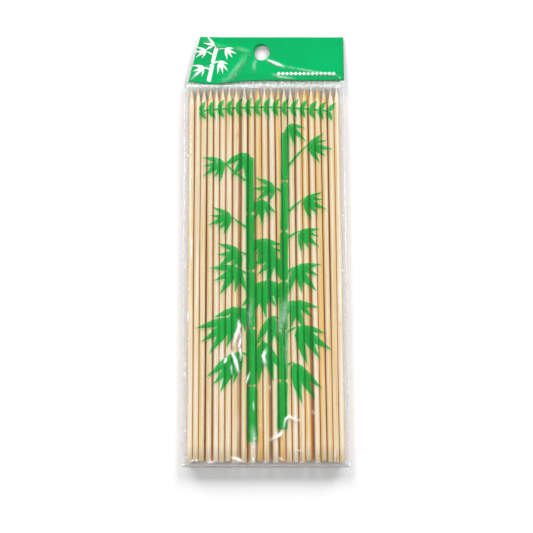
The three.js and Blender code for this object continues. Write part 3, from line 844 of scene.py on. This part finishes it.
class PACK_OT_stage(bpy.types.Operator):
    """Set the pale floor, the lights and the camera over the pack"""
    bl_idname = "stick_pack.stage"
    bl_label = "Stage"

    def execute(self, context):
        sizes = context.scene.pack_stage
        self.floor()
        self.room(context.scene, sizes)
        for name, place in (("glint_left", (-0.50, 0.10, 0.76)), ("glint_right", (0.52, 0.06, 0.74))):
            self.lamp(name, Vector(place), 0.08, 0.16, sizes.glint_power)
        self.suns(sizes)
        self.camera(context.scene, sizes)
        return {"FINISHED"}

    def floor(self):
        """A pale floor that the lights bring just up to white, so that only the shadow is grey."""
        shape = bmesh.new()
        bmesh.ops.create_grid(shape, x_segments=1, y_segments=1, size=2.0)
        mesh = bpy.data.meshes.new("floor")
        shape.to_mesh(mesh)
        shape.free()
        floor = bpy.data.objects.new("floor", mesh)
        bpy.context.scene.collection.objects.link(floor)
        made, tree = new_material("floor_white")
        seen = add_node(tree, "ShaderNodeLightPath").outputs["Is Camera Ray"]
        paint = add_node(tree, "ShaderNodeBsdfDiffuse", {"Color": (0.81, 0.81, 0.81, 1.0)}).outputs["BSDF"]
        glow = add_node(tree, "ShaderNodeEmission", {"Strength": 0.03}).outputs["Emission"]
        lit = add_node(tree, "ShaderNodeAddShader", {0: paint, 1: glow}).outputs["Shader"]
        finish_material(tree, add_node(
            tree, "ShaderNodeMixShader", {0: seen, 1: paint, 2: lit}).outputs["Shader"])
        mesh.materials.append(made)

    def room(self, scene, sizes):
        """An even, dim light from all round, which the camera sees as white."""
        world = bpy.data.worlds.new("room")
        scene.world = world
        world.use_nodes = True
        tree = world.node_tree
        tree.nodes.clear()
        path = add_node(tree, "ShaderNodeLightPath").outputs
        direct = add_node(
            tree, "ShaderNodeMath", {0: path["Is Camera Ray"], 1: path["Is Transmission Ray"]},
            operation="MAXIMUM").outputs[0]
        even = add_node(tree, "ShaderNodeBackground", {"Strength": sizes.room}).outputs["Background"]
        white = add_node(tree, "ShaderNodeBackground", {"Strength": 1.0}).outputs["Background"]
        for background in (even.node, white.node):
            background.inputs["Color"].default_value = (1.0, 1.0, 1.0, 1.0)
        mixed = add_node(tree, "ShaderNodeMixShader", {0: direct, 1: even, 2: white}).outputs["Shader"]
        add_node(tree, "ShaderNodeOutputWorld", {"Surface": mixed})

    def suns(self, sizes):
        """Two low lights from beyond the header, and a fill from above that reaches into the gaps."""
        low = sizes.key_height - math.pi / 2
        for name, strength, tilt, turn in (
                ("key_left", sizes.key_strength / 2, low, sizes.key_aside),
                ("key_right", sizes.key_strength / 2, low, -sizes.key_aside),
                ("fill_above", sizes.fill_strength, 0.0, 0.0)):
            data = bpy.data.lights.new(name, "SUN")
            data.energy, data.angle = strength, sizes.key_spread
            sun = bpy.data.objects.new(name, data)
            sun.rotation_euler = (tilt, 0.0, turn)
            # The film would mirror it as one flat glare; the glint lamps draw its gloss.
            sun.visible_glossy = False
            bpy.context.scene.collection.objects.link(sun)

    def lamp(self, name, place, width, length, power):
        """A small lamp, aimed at the pack, that the film's folds mirror as glints."""
        data = bpy.data.lights.new(name, "AREA")
        data.shape = "RECTANGLE"
        data.size, data.size_y, data.energy = width, length, power
        lamp = bpy.data.objects.new(name, data)
        lamp.location = place
        lamp.rotation_euler = (Vector((0, 0, 0)) - place).to_track_quat("-Z", "Y").to_euler()
        bpy.context.scene.collection.objects.link(lamp)

    def camera(self, scene, sizes):
        """A camera that looks straight down at the pack, with all of the picture sharp."""
        data = bpy.data.cameras.new("camera")
        data.lens, data.sensor_width = sizes.focal_length, 36.0
        camera = bpy.data.objects.new("camera", data)
        distance = sizes.frame_width * data.lens / data.sensor_width
        camera.location = (sizes.aim_x, sizes.aim_y, STICK_TOP + distance)
        scene.collection.objects.link(camera)
        scene.camera = camera
        scene.view_settings.view_transform = "Standard"


class PACK_PT_panel(bpy.types.Panel):
    """Lists the pack's operators and sizes"""
    bl_label = "Stick Pack"
    bl_idname = "PACK_PT_panel"
    bl_space_type = "VIEW_3D"
    bl_region_type = "UI"
    bl_category = "Stick Pack"

    def draw(self, context):
        for operator in OPERATORS:
            self.layout.operator(operator.bl_idname)
        for group in ("pack_sticks", "pack_film", "pack_print", "pack_stage"):
            box = self.layout.box()
            settings = getattr(context.scene, group)
            for name in settings.__annotations__:
                box.prop(settings, name)


GROUPS = {
    "pack_sticks": StickSizes, "pack_film": FilmSizes, "pack_print": PrintSizes, "pack_stage": StageSizes}
OPERATORS = (PACK_OT_sticks, PACK_OT_pouch, PACK_OT_print, PACK_OT_header, PACK_OT_stage)


def register():
    for kind in (*GROUPS.values(), *OPERATORS, PACK_PT_panel):
        bpy.utils.register_class(kind)
    for name, group in GROUPS.items():
        setattr(bpy.types.Scene, name, bpy.props.PointerProperty(type=group))


def unregister():
    for name in GROUPS:
        delattr(bpy.types.Scene, name)
    for kind in (PACK_PT_panel, *OPERATORS, *GROUPS.values()):
        bpy.utils.unregister_class(kind)


def main():
    register()
    bpy.ops.stick_pack.sticks()
    bpy.ops.stick_pack.pouch()
    bpy.ops.stick_pack.print()
    bpy.ops.stick_pack.header()
    bpy.ops.stick_pack.stage()


if __name__ == "__main__":
    main()
